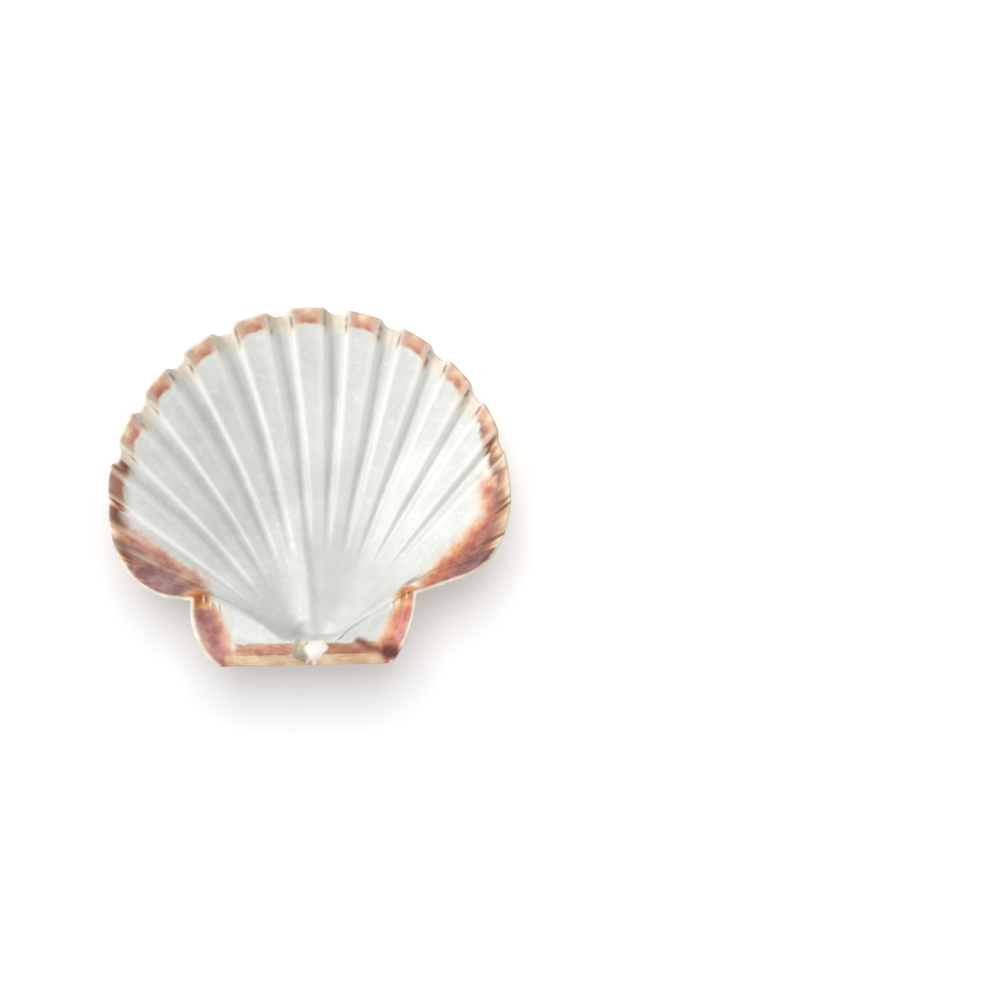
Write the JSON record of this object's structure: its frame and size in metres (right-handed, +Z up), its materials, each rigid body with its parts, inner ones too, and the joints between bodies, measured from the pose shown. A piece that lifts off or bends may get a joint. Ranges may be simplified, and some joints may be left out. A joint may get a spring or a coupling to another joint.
{
  "type": "scallop shell",
  "caption": "Single ribbed scallop valve with two ears and a straight hinge, lying on its convex outside as a shallow fan-shaped dish.",
  "frame": {"origin": "on the surface the shell rests on, under the middle of its outline's box", "axes": "+Z up out of the hollow, +X across the shell along its hinge line, +Y from the hinge toward the fan's margin"},
  "size_m": [0.125, 0.1112, 0.0311],
  "materials": {
    "shell_calcite": "porcelain gloss inside, ribbed and matt outside"
  },
  "bodies": {
    "root": {"shell": "shell_calcite"}
  },
  "joints": []
}
